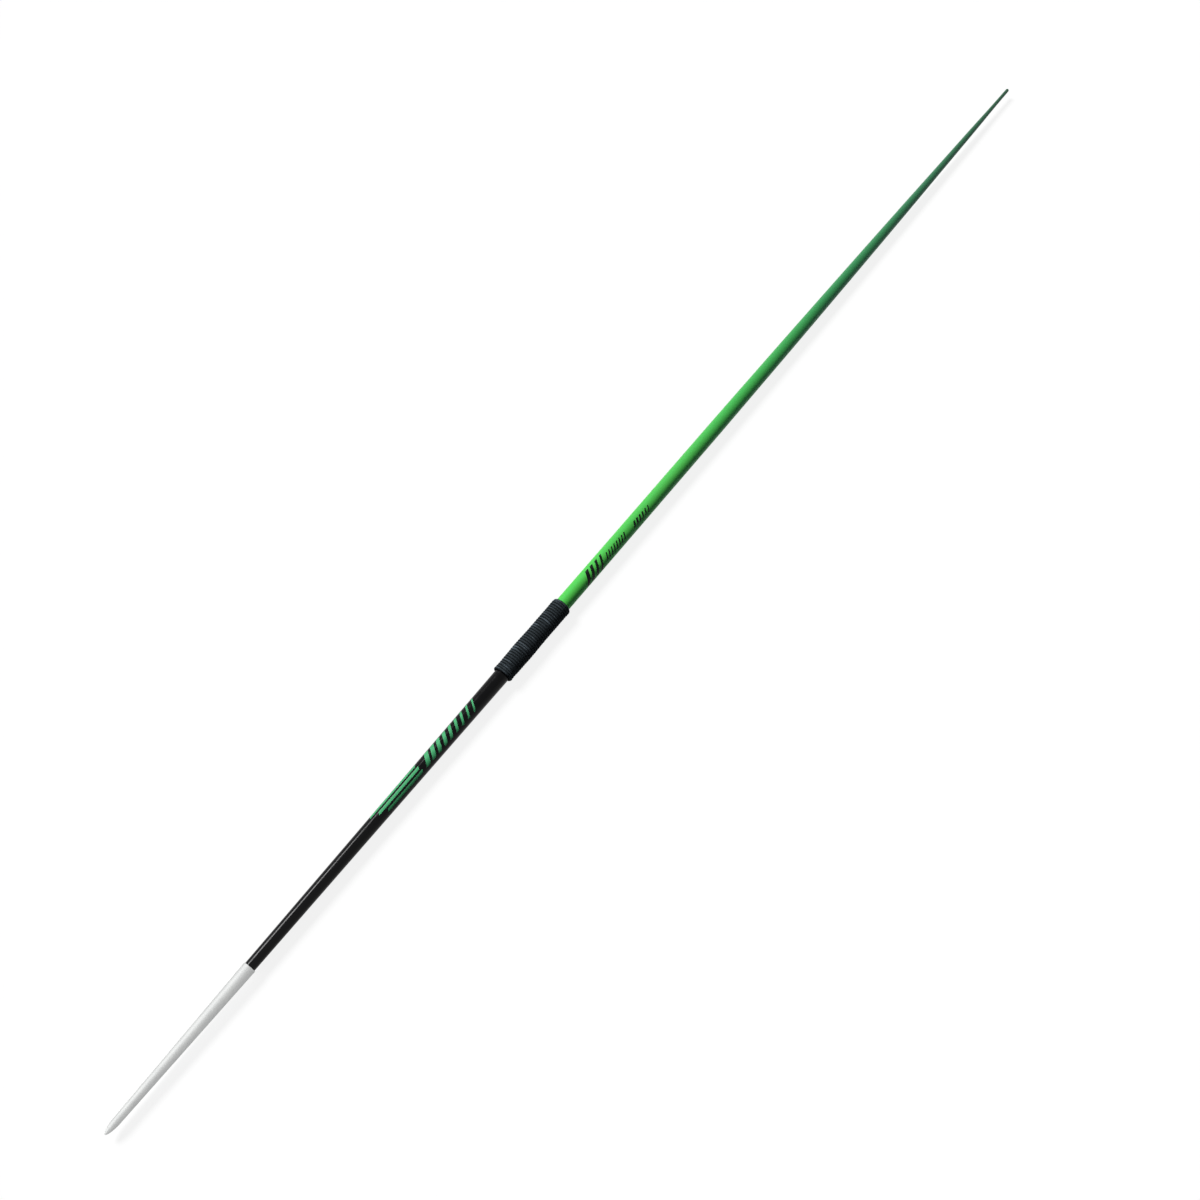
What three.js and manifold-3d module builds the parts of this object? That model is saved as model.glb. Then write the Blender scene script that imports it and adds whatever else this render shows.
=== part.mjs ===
// Men's javelin of the 800 g class: a turned steel head, an aluminium shaft in two lengths, and a grip of
// wound cord at the balance point. Lengths are in millimetres, and stations are measured from the tip.
// The model lies along X with its tip towards -X and rests on the grip: the grip's middle is at x = 0, and
// the flats on the underside of its turns are at z = 0.
import * as THREE from 'three';
import { mergeVertices } from 'three/addons/utils/BufferGeometryUtils.js';
import Module from 'manifold-3d';

// Whole javelin
const overallLength = 2600;
const gripMiddle = 931;
const turnedSides = 36;
const fitGap = 0.3;

// Head
const headLength = 276;
const headRimStep = 1.25;
const headWall = 2;
const pointLength = 24;
const pointDiameter = 12;
const pointPower = 0.6;
const pointSteps = 8;
const hollowDepth = 120;
const drillPointDegrees = 118;
const rimChamferShare = 0.5;

// Front shaft
const shaftDiameter = 26;
const shaftFrontDiameter = 17.6;
const shaftWall = 1.25;
const neckStep = 1.5;
const neckLength = 60;
const neckChamfer = 0.5;
const shoulderLength = 1.5;

// Rear shaft, with its taper's outline as shares of the taper's length and of its drop in diameter
const parallelLength = 550;
const tailDiameter = 6.8;
const taperSteps = 14;
const taperShares = [
  [0, 0], [0.255, 0.135], [0.546, 0.396], [0.735, 0.635], [0.869, 0.812], [0.941, 0.95], [1, 1],
];

// Tail plug
const tailBandLength = 1;
const tailDomeLength = 3.4;
const tailSpigotLength = 14;
const domeSteps = 6;

// Inner pieces
const sleeveInset = 20;
const sleeveWall = 1.5;
const weightSetback = 30;
const weightLength = 12;

// Grip: the cord has an odd number of turns, so that one turn's underside lies at the grip's middle
const gripLength = 160;
const tapeGap = 0.1;
const tapeThickness = 0.4;
const tapeInset = 2;
const cordHeight = 3.2;
const turnGap = 0.5;
const turnPairs = 11;
const turnSteps = 24;
const flatShare = 0.1;
const cutOverrun = 5;
const cordSectionShares = [[-0.5, 0], [-0.25, 0.5], [0.25, 0.5], [0.5, 0], [0.25, -0.5], [-0.25, -0.5]];

// Sizes that follow from the ones above
const shaftRadius = shaftDiameter / 2;
const shaftFrontRadius = shaftFrontDiameter / 2;
const headRearRadius = shaftFrontRadius + headRimStep;
const neckRadius = shaftFrontRadius - neckStep;
const neckFront = headLength - neckLength;
const shoulderFront = headLength - shoulderLength;
const gripFront = gripMiddle - gripLength / 2;
const tailRadius = tailDiameter / 2;
const rearShaftEnd = overallLength - tailDomeLength - tailBandLength - fitGap;
const tapeRadius = shaftRadius + tapeGap;
const cordRadius = tapeRadius + tapeThickness + fitGap + cordHeight / 2;
const turns = 2 * turnPairs + 1;
const pitch = (gripLength + turnGap) / (turns + 1);
const cordWidth = pitch - turnGap;
const axisHeight = cordRadius + cordHeight / 2 - cordHeight * flatShare;

function finish(color, roughness, metalness) {
  return new THREE.MeshStandardMaterial({ color, roughness, metalness });
}

// A piece turned about the javelin's axis. Its outline is a list of [station, radius]: the outside runs
// towards the tail, and the inside of a hollow piece runs back towards the tip.
function turned(name, outline, material) {
  const points = outline.map(([station, radius]) => new THREE.Vector2(radius, station - gripMiddle));
  const mesh = new THREE.Mesh(new THREE.LatheGeometry(points, turnedSides), material);
  mesh.name = name;
  mesh.rotation.z = -Math.PI / 2;
  return mesh;
}

// The outside of a tube, the same outline back again one wall further in, and its first point again
function tubeOutline(outside, wall) {
  const inside = outside.map(([station, radius]) => [station, radius - wall]).reverse();
  return [...outside, ...inside, outside[0]];
}

// The head's outside: a pointed ogive, then one long cone to the rim
function headRadiusAt(station) {
  if (station < pointLength) {
    const left = 1 - station / pointLength;
    return (pointDiameter / 2) * (1 - left ** 2) ** pointPower;
  }
  const along = (station - pointLength) / (headLength - pointLength);
  return THREE.MathUtils.lerp(pointDiameter / 2, headRearRadius, along);
}

// The head: a socket takes the shaft's neck and shoulder, a tapered hollow ahead of it leaves one even wall,
// and the point is solid steel
function head() {
  const socketFloor = neckFront - fitGap;
  const hollowFloor = socketFloor - hollowDepth;
  const floorRadius = headRadiusAt(hollowFloor) - headWall;
  const drillPointDepth = floorRadius / Math.tan(THREE.MathUtils.degToRad(drillPointDegrees / 2));
  const rimChamfer = (headRimStep - fitGap) * rimChamferShare;
  const outline = [];
  for (let step = 0; step <= pointSteps; step += 1) {
    const station = pointLength * (step / pointSteps) ** 2;
    outline.push([station, headRadiusAt(station)]);
  }
  outline.push(
    [headLength - rimChamfer, headRadiusAt(headLength - rimChamfer)],
    [headLength, headRearRadius - rimChamfer],
    [headLength, shaftFrontRadius + fitGap],
    [shoulderFront, neckRadius + fitGap],
    [socketFloor, neckRadius + fitGap],
    [socketFloor, headRadiusAt(socketFloor) - headWall],
    [hollowFloor, floorRadius],
    [hollowFloor - drillPointDepth, 0],
  );
  return turned('head', outline, finish(0xdcdcdc, 0.35, 1));
}

// The front shaft's outside behind its shoulder: a cone up to the grip, then parallel below it
function frontRadiusAt(station) {
  const along = Math.min((station - headLength) / (gripFront - headLength), 1);
  return THREE.MathUtils.lerp(shaftFrontRadius, shaftRadius, along);
}

// The front shaft, drawn down at its front to a neck that is bonded into the head
function frontShaft() {
  const jointEnd = gripMiddle - fitGap / 2;
  const outside = [
    [neckFront, neckRadius - neckChamfer],
    [neckFront + neckChamfer, neckRadius],
    [shoulderFront, neckRadius],
    [headLength, shaftFrontRadius],
    [gripFront, shaftRadius],
    [jointEnd, shaftRadius],
  ];
  return turned('front_shaft', tubeOutline(outside, shaftWall), finish(0x141416, 0.25, 0.3));
}

// A wooden dowel in the neck's bore, which keeps the thin neck from folding when the head lands
function noseDowel() {
  const radius = neckRadius - neckChamfer - shaftWall - fitGap;
  const outline = [[neckFront, 0], [neckFront, radius], [shoulderFront, radius], [shoulderFront, 0]];
  return turned('nose_dowel', outline, finish(0xc8a070, 0.8, 0));
}

// A brass slug in the front shaft's bore, turned to the bore's taper, which trims mass and balance
function balanceWeight() {
  const front = headLength + weightSetback;
  const rear = front + weightLength;
  const borePlay = shaftWall + fitGap;
  const outline = [
    [front, 0],
    [front, frontRadiusAt(front) - borePlay],
    [rear, frontRadiusAt(rear) - borePlay],
    [rear, 0],
  ];
  return turned('balance_weight', outline, finish(0xb08d3c, 0.4, 1));
}

// The sleeve that joins the two shafts, inside them and below the grip
function jointSleeve() {
  const front = gripFront + sleeveInset;
  const rear = front + gripLength - 2 * sleeveInset;
  const radius = shaftRadius - shaftWall - fitGap;
  const outline = tubeOutline([[front, radius], [rear, radius]], sleeveWall);
  return turned('joint_sleeve', outline, finish(0xb8bcc0, 0.5, 1));
}

// The rear shaft: parallel at first, then a taper that steepens towards the slender tail
function rearShaft() {
  const taperStart = gripMiddle + parallelLength;
  const taperLength = rearShaftEnd - taperStart;
  const drop = shaftRadius - tailRadius;
  const taper = new THREE.SplineCurve(taperShares.map(([along, down]) => (
    new THREE.Vector2(taperStart + taperLength * along, shaftRadius - drop * down)
  )));
  const outside = [
    [gripMiddle + fitGap / 2, shaftRadius],
    ...taper.getPoints(taperSteps).map((point) => [point.x, point.y]),
  ];
  return turned('rear_shaft', tubeOutline(outside, shaftWall), finish(0x4fc555, 0.3, 0.4));
}

// The plug that closes the tail: a spigot in the bore, a short band and a round end
function tailPlug() {
  const seat = rearShaftEnd + fitGap;
  const domeStart = seat + tailBandLength;
  const spigotRadius = tailRadius - shaftWall - fitGap;
  const spigotFront = seat - tailSpigotLength;
  const outline = [
    [spigotFront, 0],
    [spigotFront, spigotRadius],
    [seat, spigotRadius],
    [seat, tailRadius],
  ];
  for (let step = 0; step <= domeSteps; step += 1) {
    const turn = (step / domeSteps) * (Math.PI / 2);
    outline.push([domeStart + tailDomeLength * Math.sin(turn), tailRadius * Math.cos(turn)]);
  }
  return turned('tail_plug', outline, finish(0x2f5a44, 0.5, 0));
}

// The double-sided tape between shaft and cord
function gripTape() {
  const front = gripFront + tapeInset;
  const rear = front + gripLength - 2 * tapeInset;
  const radius = tapeRadius + tapeThickness;
  const outline = tubeOutline([[front, radius], [rear, radius]], tapeThickness);
  return turned('grip_tape', outline, finish(0x8a8274, 0.9, 0));
}

// One ring of the cord's section, at an angle measured round the shaft from its underside and moved along
// the cord by a length
function cordRing(angle, slide) {
  const along = new THREE.Vector3(
    pitch / (2 * Math.PI),
    cordRadius * Math.cos(angle),
    cordRadius * Math.sin(angle),
  ).setLength(Math.abs(slide)).multiplyScalar(Math.sign(slide));
  return cordSectionShares.map(([across, outwards]) => {
    const radius = cordRadius + cordHeight * outwards;
    const x = (pitch * angle) / (2 * Math.PI) + cordWidth * across;
    return new THREE.Vector3(x, radius * Math.sin(angle), -radius * Math.cos(angle)).add(along);
  });
}

// The rings of the whole winding, from tip side to tail side. Both ends lie on top and run straight for
// the cord's height.
function cordRings() {
  const rings = [];
  const count = turns * turnSteps;
  for (let step = 0; step <= count; step += 1) {
    rings.push(cordRing((2 * Math.PI * step) / turnSteps - Math.PI * turns, 0));
  }
  const frontEnd = cordRing(-Math.PI * turns, -cordHeight);
  const rearEnd = cordRing(Math.PI * turns, cordHeight);
  return [frontEnd, ...rings, rearEnd];
}

// The least distance between points of rings that are at least half a turn apart
function leastGap(rings) {
  let least = Infinity;
  for (let first = 0; first < rings.length; first += 1) {
    for (let second = first + turnSteps / 2; second < rings.length; second += 1) {
      for (const a of rings[first]) {
        for (const b of rings[second]) {
          least = Math.min(least, a.distanceTo(b));
        }
      }
    }
  }
  return least;
}

// One closed tube through rings of equal length
function tubeThrough(rings) {
  const sides = rings[0].length;
  const triangles = [];
  for (let ring = 0; ring + 1 < rings.length; ring += 1) {
    for (let side = 0; side < sides; side += 1) {
      const a = ring * sides + side;
      const b = ring * sides + ((side + 1) % sides);
      triangles.push(a, a + sides, b, b, a + sides, b + sides);
    }
  }
  const last = (rings.length - 1) * sides;
  for (let side = 1; side + 1 < sides; side += 1) {
    triangles.push(0, side, side + 1);
    triangles.push(last, last + side + 1, last + side);
  }
  const geometry = new THREE.BufferGeometry().setFromPoints(rings.flat());
  geometry.setIndex(triangles);
  return geometry;
}

const wasm = await Module();
wasm.setup();

function solidOf(geometry) {
  const bare = geometry.clone();
  bare.deleteAttribute('normal');
  bare.deleteAttribute('uv');
  const merged = mergeVertices(bare);
  const vertProperties = new Float32Array(merged.attributes.position.array);
  const triVerts = new Uint32Array(merged.index.array);
  return new wasm.Manifold(new wasm.Mesh({ numProp: 3, vertProperties, triVerts }));
}

function geometryOf(solid) {
  const { vertProperties, triVerts } = solid.getMesh();
  const geometry = new THREE.BufferGeometry();
  geometry.setAttribute('position', new THREE.BufferAttribute(vertProperties, 3));
  geometry.setIndex(new THREE.BufferAttribute(triVerts, 1));
  geometry.computeVertexNormals();
  return geometry;
}

// The cord, wound as one length round the balance point. The real whipping lays 34 turns side by side, and
// here fewer and wider turns fill the same grip. Where the javelin rests on them the turns are cut flat.
function gripCord() {
  const rings = cordRings();
  console.log(`grip_cord: least gap to itself ${leastGap(rings).toFixed(2)} mm`);
  const cutter = new THREE.BoxGeometry(gripLength + 2 * cutOverrun, shaftDiameter, cutOverrun);
  cutter.translate(0, 0, -axisHeight - cutOverrun / 2);
  const solid = solidOf(tubeThrough(rings)).subtract(solidOf(cutter));
  const mesh = new THREE.Mesh(geometryOf(solid), finish(0x17181a, 0.85, 0));
  mesh.name = 'grip_cord';
  return mesh;
}

const javelin = new THREE.Group();
javelin.position.z = axisHeight;
javelin.add(
  head(),
  noseDowel(),
  balanceWeight(),
  frontShaft(),
  jointSleeve(),
  rearShaft(),
  tailPlug(),
  gripTape(),
  gripCord(),
);

export default javelin;
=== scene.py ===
import math

import bpy
from mathutils import Matrix, Vector


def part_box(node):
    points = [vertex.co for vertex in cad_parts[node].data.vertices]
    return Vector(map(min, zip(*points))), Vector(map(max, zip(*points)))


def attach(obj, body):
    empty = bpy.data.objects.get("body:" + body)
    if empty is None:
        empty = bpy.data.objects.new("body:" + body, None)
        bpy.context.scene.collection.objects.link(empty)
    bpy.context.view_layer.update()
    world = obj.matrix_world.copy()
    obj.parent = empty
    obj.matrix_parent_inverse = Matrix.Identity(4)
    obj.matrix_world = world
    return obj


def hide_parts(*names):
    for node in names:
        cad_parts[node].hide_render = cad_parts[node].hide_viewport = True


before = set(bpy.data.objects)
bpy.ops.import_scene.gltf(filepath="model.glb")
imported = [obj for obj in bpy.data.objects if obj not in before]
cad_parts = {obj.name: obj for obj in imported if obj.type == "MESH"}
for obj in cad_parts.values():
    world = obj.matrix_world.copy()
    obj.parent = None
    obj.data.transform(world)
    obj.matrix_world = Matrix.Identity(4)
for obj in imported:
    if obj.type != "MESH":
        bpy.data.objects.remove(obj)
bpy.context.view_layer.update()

MM = 0.001

# Whole javelin
OVERALL_LENGTH = 2600 * MM
GRIP_MIDDLE = 931 * MM
FIT_GAP = 0.3 * MM

# Head. The middle of the rim's rounding lies RIM_MIDDLE inside its corner.
HEAD_LENGTH = 276 * MM
HEAD_RIM_STEP = 1.25 * MM
HEAD_WALL = 2 * MM
POINT_LENGTH = 24 * MM
POINT_RADIUS = 6 * MM
POINT_POWER = 0.6
POINT_STEPS = 40
HEAD_STEPS = 24
SOCKET_DEPTH = 60.3 * MM
HOLLOW_DEPTH = 120 * MM
DRILL_POINT_DEPTH = 3.5 * MM
RIM_ROUND = 0.45 * MM
RIM_MIDDLE = 0.3 * RIM_ROUND

# Front shaft
SHAFT_RADIUS = 13 * MM
SHAFT_FRONT_RADIUS = 8.8 * MM
SHAFT_WALL = 1.25 * MM
NECK_STEP = 1.5 * MM
NECK_LENGTH = 60 * MM
NECK_CHAMFER = 0.5 * MM
SHOULDER_LENGTH = 1.5 * MM
FRONT_STEPS = 24

# Rear shaft, with its taper as shares of the taper's length and of its drop in radius
TAPER_START = 1481 * MM
TAIL_RADIUS = 3.4 * MM
TAPER_STEPS = 96
PARALLEL_STEPS = 12
TAPER_SHARES = (
    (0, 0), (0.255, 0.135), (0.546, 0.396), (0.735, 0.635), (0.869, 0.812), (0.941, 0.95), (1, 1),
)

# Tail plug
TAIL_BAND = 1 * MM
TAIL_DOME = 3.4 * MM
TAIL_SPIGOT = 14 * MM
DOME_STEPS = 12
TAIL_SEAT = OVERALL_LENGTH - TAIL_DOME - TAIL_BAND

# Grip. The swell's shares are the winding's place along the grip and its height over or under the mean.
GRIP_LENGTH = 160 * MM
TAPE_RADIUS = 13.5 * MM
TAPE_THREAD = 0.8 * MM
CORD_HEIGHT = 3.5 * MM
CORD_TURNS = 34
CORD_STEPS = 150
CORD_SIDES = 18
CORD_OVERLAP = 1.04
SWELL = 1 * MM
SWELL_SHARES = (
    (0, 0.3), (0.02, 0.82), (0.06, 0.2), (0.15, 0.5), (0.25, 0.75), (0.35, 1), (0.46, 0.75),
    (0.56, 0.35), (0.77, 0.45), (0.88, 0.5), (0.98, 0.7), (1, 0.3),
)
LOOSENESS = 0.5 * MM
LOOSE_WAVE = 55 * MM
LOOSE_SEED = 7.0
LEVEL_TURN = 0.6
TUCKED_TURN = 0.45
TUCKED_SHARE = 0.3
BRAID_PICK = 3.6 * MM
BRAID_STARTS = 3
BRAID_DEPTH = 0.06 * MM

# Printed marks: rows of slanted bars. A row's place is the station of its first bar's middle, and its arc
# runs round the shaft from the top. INK_LIFT raises the ink's mid-height, so that its underside just clears
# the shaft.
INK_THICKNESS = 0.06 * MM
INK_LIFT = 0.6 * INK_THICKNESS
BAR_STEPS = 28
BAR_SLANT = math.radians(35)
REAR_ARC = math.radians(33) * SHAFT_RADIUS
FRONT_MARKS = {
    "front_stripes": {
        "Count": 3, "First_Place": 590 * MM, "Pitch": 12 * MM, "First_Arc": -8 * MM, "Arc_Step": 8 * MM,
        "First_Width": 104 * MM, "Last_Width": 80 * MM, "Height": 4.6 * MM,
    },
    "front_bars": {
        "Count": 9, "First_Place": 668 * MM, "Pitch": 14 * MM, "First_Arc": 0.0, "Arc_Step": 0.0,
        "First_Width": 9 * MM, "Last_Width": 3.5 * MM, "Height": 20.5 * MM,
    },
}
REAR_MARKS = {
    "rear_bars": {
        "Count": 4, "First_Place": 1081 * MM, "Pitch": 12.5 * MM, "First_Arc": REAR_ARC, "Arc_Step": 0.0,
        "First_Width": 8 * MM, "Last_Width": 5 * MM, "Height": 23 * MM,
    },
    "rear_ticks": {
        "Count": 8, "First_Place": 1133 * MM, "Pitch": 7.2 * MM, "First_Arc": REAR_ARC, "Arc_Step": 0.0,
        "First_Width": 3 * MM, "Last_Width": 3 * MM, "Height": 11 * MM,
    },
    "rear_dashes": {
        "Count": 6, "First_Place": 1213 * MM, "Pitch": 8 * MM, "First_Arc": REAR_ARC, "Arc_Step": 0.0,
        "First_Width": 4.5 * MM, "Last_Width": 3 * MM, "Height": 10 * MM,
    },
}

TURNED_SIDES = 128
SHARP_ANGLE = math.radians(28)
AXIS_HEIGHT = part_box("front_shaft")[1].z - SHAFT_RADIUS

# The photograph's frame, and where the javelin's two ends lie in it
PHOTO_SIDE = 1200
FOCAL_PIXELS = 1290
TIP_PIXEL = (104.6, 1135.0)
TAIL_PIXEL = (1007.8, 89.7)
TAIL_TO_TIP_DEPTH = 1.6126
SENSOR_WIDTH = 36


def linear(hex_colour):
    """An sRGB hex colour as linear red, green, blue and alpha."""
    channels = [int(hex_colour[i:i + 2], 16) / 255 for i in (1, 3, 5)]
    return (*[c / 12.92 if c <= 0.04045 else ((c + 0.055) / 1.055) ** 2.4 for c in channels], 1)


def add(tree, kind, settings=None, inputs=None):
    """Adds a node, sets its properties, and gives its inputs values or links from other nodes' sockets."""
    node = tree.nodes.new(kind)
    for name, value in (settings or {}).items():
        setattr(node, name, value)
    for key, value in (inputs or {}).items():
        if isinstance(value, bpy.types.NodeSocket):
            tree.links.new(value, node.inputs[key])
        else:
            node.inputs[key].default_value = value
    return node


def place_camera():
    """A level camera that sees the tip and the tail of the lying javelin at their pixels."""
    def ray(pixel):
        """The direction of a pixel's line of sight, one unit deep."""
        return Vector((
            (pixel[0] - PHOTO_SIDE / 2) / FOCAL_PIXELS,
            (PHOTO_SIDE / 2 - pixel[1]) / FOCAL_PIXELS,
            -1,
        ))

    span = TAIL_TO_TIP_DEPTH * ray(TAIL_PIXEL) - ray(TIP_PIXEL)
    tip_depth = OVERALL_LENGTH / span.length
    along = span.normalized()
    up = Vector((0, -along.z, along.y)).normalized()
    if up.y < 0:
        up.negate()
    turn = Matrix((along, up.cross(along), up))
    camera = bpy.data.objects.new("camera", bpy.data.cameras.new("camera"))
    bpy.context.scene.collection.objects.link(camera)
    camera.data.sensor_width = SENSOR_WIDTH
    camera.data.lens = FOCAL_PIXELS * SENSOR_WIDTH / PHOTO_SIDE
    tip = Vector((-GRIP_MIDDLE, 0, AXIS_HEIGHT))
    camera.matrix_world = Matrix.Translation(tip - turn @ (tip_depth * ray(TIP_PIXEL))) @ turn.to_4x4()
    bpy.context.scene.camera = camera


# Studio. A flag's range tells where its grey sets in and where it is full, by how much a direction points
# up, to the far side or towards the tail.

KEY_STRENGTH = 3.05
KEY_TILT = math.radians(41)
KEY_WIDTH = math.radians(20)
FLAG_SHADE = 0.4
FLAG_RISE = (0.2, 0.5)
FLAG_FAR = (-0.1, 0.3)
FLAG_TAIL = (0.05, 0.25)
ROOM_BOUNCE = 0.025
FLOOR_SIDE = 40
FLOOR_DROP = 0.1 * MM
FLOOR_WHITE = 1.0
FLOOR_BOUNCE = 0.025
FLOOR_GLOW = 1.06
FLOOR_GLOW_SHARE = 0.82


def seen_or_mirrored(tree):
    """1 for rays from the camera, a gloss or a glass, and 0 for light that surfaces throw on each other."""
    path = add(tree, "ShaderNodeLightPath").outputs
    gloss = add(tree, "ShaderNodeMath", {"operation": "MAXIMUM"}, {
        0: path["Is Camera Ray"],
        1: path["Is Glossy Ray"],
    })
    either = add(tree, "ShaderNodeMath", {"operation": "MAXIMUM"}, {
        0: gloss.outputs[0],
        1: path["Is Transmission Ray"],
    })
    return either.outputs[0]


def build_studio():
    """A white room with a pale floor and one soft lamp. Gloss also shows grey flags, hung over the far side
    and the tail end out of the picture. The floor comes out just white where nothing shades it."""
    lamp = bpy.data.objects.new("key_lamp", bpy.data.lights.new("key_lamp", "SUN"))
    lamp.data.energy = KEY_STRENGTH
    lamp.data.angle = KEY_WIDTH
    lamp.rotation_euler = (-KEY_TILT, 0, 0)
    bpy.context.scene.collection.objects.link(lamp)
    world = bpy.data.worlds.new("white_room")
    world.use_nodes = True
    bpy.context.scene.world = world
    tree = world.node_tree
    tree.nodes.clear()
    dim = add(tree, "ShaderNodeBackground", None, {"Color": linear("#EEF2FF"), "Strength": ROOM_BOUNCE})
    direction = add(tree, "ShaderNodeTexCoord").outputs["Generated"]
    aim = add(tree, "ShaderNodeSeparateXYZ", None, {"Vector": direction}).outputs
    high, far, tail = [
        add(tree, "ShaderNodeMapRange", None, {
            "Value": aim[axis], "From Min": start, "From Max": full,
        }).outputs[0]
        for axis, (start, full) in (("Z", FLAG_RISE), ("Y", FLAG_FAR), ("X", FLAG_TAIL))
    ]
    sides = add(tree, "ShaderNodeMath", {"operation": "MAXIMUM"}, {0: far, 1: tail}).outputs[0]
    flag = add(tree, "ShaderNodeMath", {"operation": "MULTIPLY"}, {0: high, 1: sides}).outputs[0]
    shade = add(tree, "ShaderNodeMapRange", None, {
        "Value": flag, "To Min": 1.0, "To Max": 1 - FLAG_SHADE,
    }).outputs[0]
    seen = add(tree, "ShaderNodeLightPath").outputs["Is Camera Ray"]
    bright = add(tree, "ShaderNodeMath", {"operation": "MAXIMUM"}, {0: shade, 1: seen}).outputs[0]
    white = add(tree, "ShaderNodeBackground", None, {"Strength": bright, "Color": linear("#FFFFFF")})
    mixed = add(tree, "ShaderNodeMixShader", None, {
        0: seen_or_mirrored(tree),
        1: dim.outputs[0],
        2: white.outputs[0],
    })
    add(tree, "ShaderNodeOutputWorld", None, {"Surface": mixed.outputs[0]})

    paper = bpy.data.materials.new("studio_paper")
    paper.use_nodes = True
    tree = paper.node_tree
    tree.nodes.clear()
    dull = add(tree, "ShaderNodeBsdfDiffuse", None, {"Color": (FLOOR_BOUNCE,) * 3 + (1,)})
    pale = add(tree, "ShaderNodeBsdfDiffuse", None, {"Color": (FLOOR_WHITE,) * 3 + (1,)})
    glow = add(tree, "ShaderNodeEmission", None, {"Strength": FLOOR_GLOW})
    bright = add(tree, "ShaderNodeMixShader", None, {
        0: FLOOR_GLOW_SHARE,
        1: pale.outputs[0],
        2: glow.outputs[0],
    })
    mixed = add(tree, "ShaderNodeMixShader", None, {
        0: seen_or_mirrored(tree),
        1: dull.outputs[0],
        2: bright.outputs[0],
    })
    add(tree, "ShaderNodeOutputMaterial", None, {"Surface": mixed.outputs[0]})
    reach = FLOOR_SIDE / 2
    corners = [(x * reach, y * reach, -FLOOR_DROP) for x, y in ((-1, -1), (1, -1), (1, 1), (-1, 1))]
    mesh = bpy.data.meshes.new("floor")
    mesh.from_pydata(corners, [], [(0, 1, 2, 3)])
    mesh.materials.append(paper)
    floor = bpy.data.objects.new("floor", mesh)
    bpy.context.scene.collection.objects.link(floor)
    bpy.context.scene.view_settings.view_transform = "Standard"


# Materials. The sizes of their patterns come first, a pair where they differ along the javelin and across
# it. Real feed rings, die lines and cord fibres are finer than 0.2 mm and are drawn as coarse as they need
# to show.

STEEL_RINGS = (0.45 * MM, 25 * MM)
STEEL_CLOUD = 17 * MM
ENAMEL_HAZE = 11 * MM
INK_COVER = 4.5 * MM
CORD_FIBRE = 0.7 * MM
# The streaks of scuffed fibres and painted sheen on the cord's crowns
CORD_WEAR_AND_SHEEN = (4.2 * MM, 22 * MM)
PLUG_MOTTLE = 2 * MM
ASH_GRAIN = (100 * MM, 3.8 * MM)
BRASS_RINGS = (0.65 * MM, 33 * MM)
BRASS_TARNISH = 8.3 * MM
DIE_LINES = (170 * MM, 1.1 * MM)

# Most of a noise's values lie between these two.
NOISE_LOW = 0.3
NOISE_HIGH = 0.7

# The green's stops, from the middle of the grip to the tail end. They darken towards the tail, partly as the
# paint's own gradient and partly as painted shade for the light falling off along the shaft.
GREEN_FADE_AND_SHADE = (
    (0, "#62E45A"), (0.23, "#5CD15A"), (0.35, "#50C558"), (0.55, "#3F9857"), (0.77, "#3D7D55"),
    (1, "#3B6046"),
)

# A Mix node's sockets for two colours and for their mix, which share their names with those of other kinds
MIX_FIRST = 6
MIX_SECOND = 7
MIX_RESULT = 2


def grain_scale(along, across):
    """The scale that gives a noise grains of these sizes along the javelin and across it."""
    return (1 / along, 1 / across, 1 / across)


def new_material(name, **sockets):
    """A material with one Principled shader, whose constant sockets are set here, and object coordinates."""
    made = bpy.data.materials.new(name)
    made.use_nodes = True
    tree = made.node_tree
    shader = tree.nodes["Principled BSDF"]
    for socket, value in sockets.items():
        shader.inputs[socket.replace("_", " ")].default_value = value
    place = add(tree, "ShaderNodeTexCoord").outputs["Object"]
    return made, tree, shader, place


def turned_steel():
    """Satin turned steel: near-white metal whose feed rings run round it and draw its gloss out along it."""
    made, tree, shader, place = new_material(
        "turned_steel", Metallic=1.0, Specular_Tint=linear("#000000"), Anisotropic_Rotation=0.25,
    )
    lay = add(tree, "ShaderNodeTangent", {"direction_type": "RADIAL", "axis": "X"}).outputs[0]
    tree.links.new(lay, shader.inputs["Tangent"])
    rings = add(tree, "ShaderNodeMapping", None, {
        "Vector": place, "Scale": grain_scale(*STEEL_RINGS),
    }).outputs[0]
    feed = add(tree, "ShaderNodeTexNoise", None, {"Vector": rings, "Scale": 1.0, "Detail": 2.0}).outputs[0]
    cloud = add(tree, "ShaderNodeTexNoise", None, {
        "Vector": place, "Scale": 1 / STEEL_CLOUD, "Detail": 3.0,
    }).outputs[0]
    tone = add(tree, "ShaderNodeMix", {"data_type": "RGBA"}, {
        "Factor": cloud, MIX_FIRST: linear("#DADBDB"), MIX_SECOND: linear("#E4E5E4"),
    }).outputs[MIX_RESULT]
    tree.links.new(tone, shader.inputs["Base Color"])
    dull = add(tree, "ShaderNodeMapRange", None, {
        "Value": feed, "From Min": NOISE_LOW, "From Max": NOISE_HIGH, "To Min": 0.88, "To Max": 1.0,
    }).outputs[0]
    tree.links.new(dull, shader.inputs["Roughness"])
    drawn = add(tree, "ShaderNodeMapRange", None, {
        "Value": feed, "From Min": NOISE_LOW, "From Max": NOISE_HIGH, "To Min": 0.7, "To Max": 0.5,
    }).outputs[0]
    tree.links.new(drawn, shader.inputs["Anisotropic"])
    bump = add(tree, "ShaderNodeBump", None, {
        "Height": feed, "Strength": 0.15, "Distance": 0.05 * MM,
    }).outputs[0]
    tree.links.new(bump, shader.inputs["Normal"])
    return made


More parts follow.
